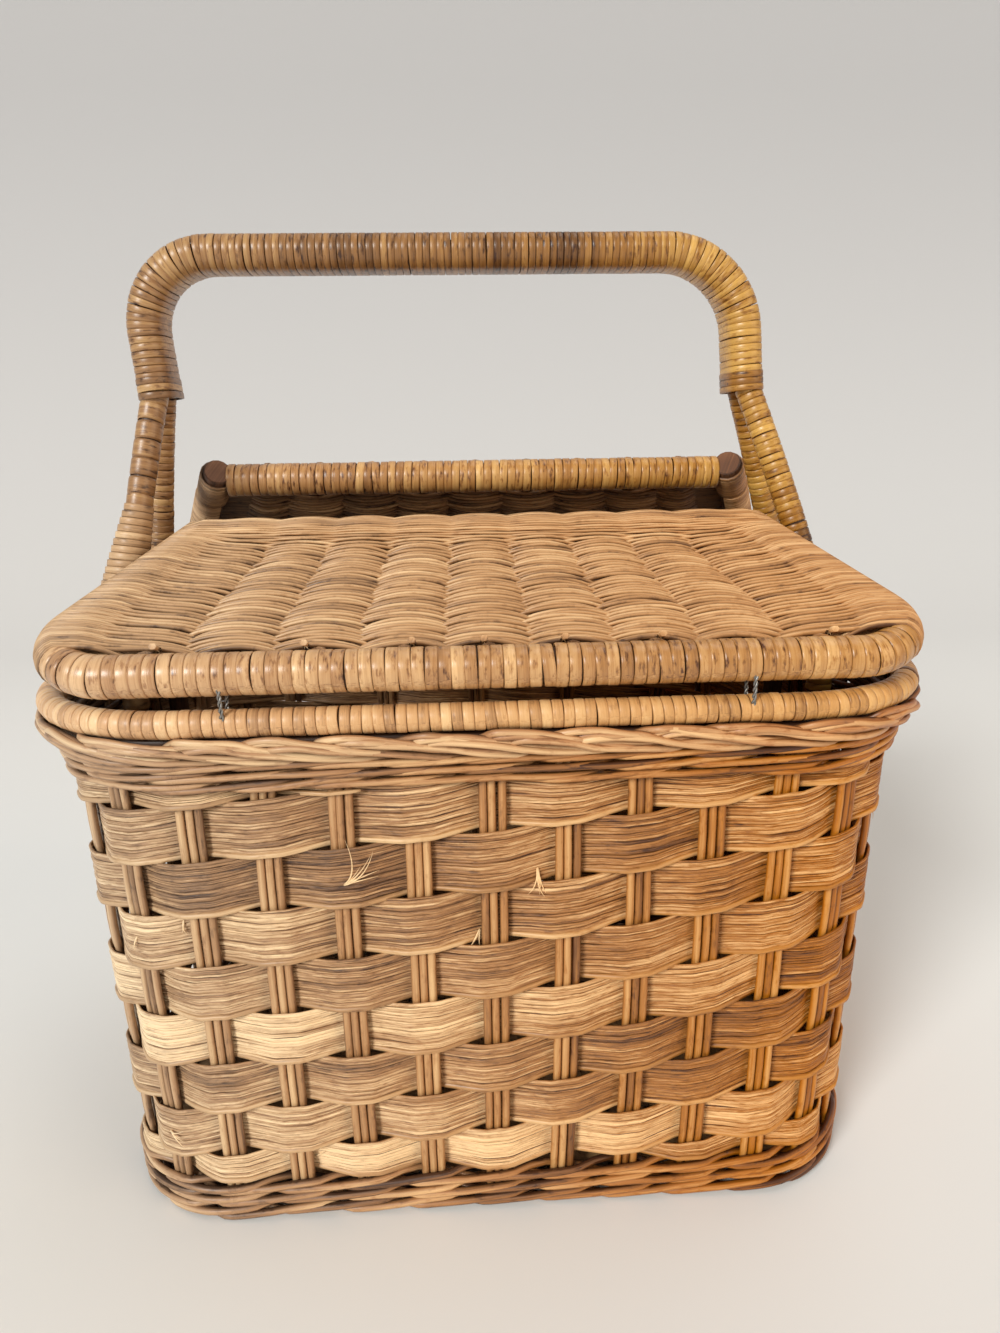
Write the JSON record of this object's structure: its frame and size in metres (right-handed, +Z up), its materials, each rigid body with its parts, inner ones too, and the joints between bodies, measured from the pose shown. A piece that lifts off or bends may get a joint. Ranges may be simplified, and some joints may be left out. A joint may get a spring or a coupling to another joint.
{
  "type": "picnic basket",
  "caption": "Rectangular woven rattan picnic basket with a bound rim, a fixed split cane handle and two lids hinged on the long outer edges that meet under the handle.",
  "frame": {"origin": "on the floor under the middle of the base", "axes": "+Z up, front of the basket towards -Y, +X to the right seen from the front"},
  "size_m": [0.3762, 0.264, 0.4191],
  "materials": {
    "stake": "satin varnish on split cane",
    "weaver": "satin varnish on cane strands",
    "wale": "satin varnish on round cane",
    "border": "satin varnish on round cane",
    "binding": "gloss varnish on flat cane",
    "handle": "gloss varnish on cane",
    "lid": "satin varnish on cane strands",
    "rail": "bare dark cane",
    "base": "dull cane",
    "wire": "dull wire"
  },
  "bodies": {
    "basket": {"stake_front_back_1": "stake", "stake_front_back_2": "stake", "stake_front_back_3": "stake", "stake_front_back_4": "stake", "stake_front_back_5": "stake", "stake_front_back_6": "stake", "stake_front_back_7": "stake", "stake_front_back_8": "stake", "stake_front_back_9": "stake", "stake_left_right_1": "stake", "stake_left_right_2": "stake", "stake_left_right_3": "stake", "stake_left_right_4": "stake", "stake_left_right_5": "stake", "stake_corner_1": "stake", "stake_corner_2": "stake", "stake_corner_3": "stake", "stake_corner_4": "stake", "stake_corner_5": "stake", "stake_corner_6": "stake", "stake_corner_7": "stake", "stake_corner_8": "stake", "weaver_1": "weaver", "weaver_2": "weaver", "weaver_3": "weaver", "weaver_4": "weaver", "weaver_5": "weaver", "weaver_6": "weaver", "weaver_7": "weaver", "weaver_8": "weaver", "base_mat": "base", "foot_wale_outer": "wale", "foot_wale_inner": "wale", "top_wale_outer": "wale", "top_wale_inner": "wale", "border": "border", "rim_hoop": "binding", "handle_cane_front": "handle", "handle_cane_back": "handle", "handle_binding": "binding", "foot_binding_fl": "binding", "foot_binding_fr": "binding", "foot_binding_bl": "binding", "foot_binding_br": "binding", "bridge": "rail", "hinge_loop_front_left": "wire", "hinge_loop_front_right": "wire", "hinge_loop_rear_left": "wire", "hinge_loop_rear_right": "wire"},
    "front_lid": {"front_lid_frame": "rail", "front_lid_rod_binding": "binding", "front_lid_cross_rod": "rail", "front_lid_cross_binding": "binding", "front_lid_panel": "lid"},
    "rear_lid": {"rear_lid_frame": "rail", "rear_lid_rod_binding": "binding", "rear_lid_cross_rod": "rail", "rear_lid_cross_binding": "binding", "rear_lid_panel": "lid"}
  },
  "joints": [
    {"name": "front_lid_hinge", "type": "hinge", "parent": "basket", "child": "front_lid", "pos_m": [0, -0.12184, 0.2499], "axis": [1, 0, 0], "range_deg": [0, 185]},
    {"name": "rear_lid_hinge", "type": "hinge", "parent": "basket", "child": "rear_lid", "pos_m": [0, 0.12184, 0.2499], "axis": [-1, 0, 0], "range_deg": [-15, 170]}
  ]
}
